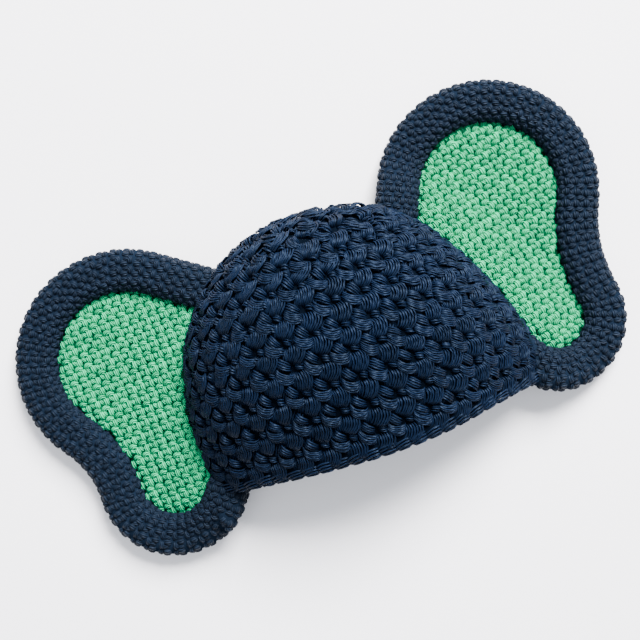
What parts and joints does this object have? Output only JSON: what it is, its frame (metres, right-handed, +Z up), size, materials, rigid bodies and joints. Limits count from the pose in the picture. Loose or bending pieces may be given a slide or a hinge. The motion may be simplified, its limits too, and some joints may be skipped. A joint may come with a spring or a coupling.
{
  "type": "baby hat with ears",
  "caption": "Crocheted navy baby hat lying on its back, a puffed hollow crown open at the brim, with flat ears whose mint panels sit inside padded rims.",
  "frame": {"origin": "on the flat underside of the crown, midway across it, 60 mm behind the brim's ends", "axes": "+X across the hat from the left ear to the right ear, +Y from the open brim to the closed end, +Z up away from the surface the hat lies on"},
  "size_m": [0.3163, 0.184, 0.0588],
  "materials": {
    "navy_yarn": "soft satin crochet cotton",
    "mint_yarn": "soft satin crochet cotton"
  },
  "bodies": {
    "root": {"crown": "navy_yarn", "brim_round": "navy_yarn", "ear_left_rim": "navy_yarn", "ear_left_back": "navy_yarn", "ear_left_panel": "mint_yarn", "ear_right_rim": "navy_yarn", "ear_right_back": "navy_yarn", "ear_right_panel": "mint_yarn"}
  },
  "joints": []
}
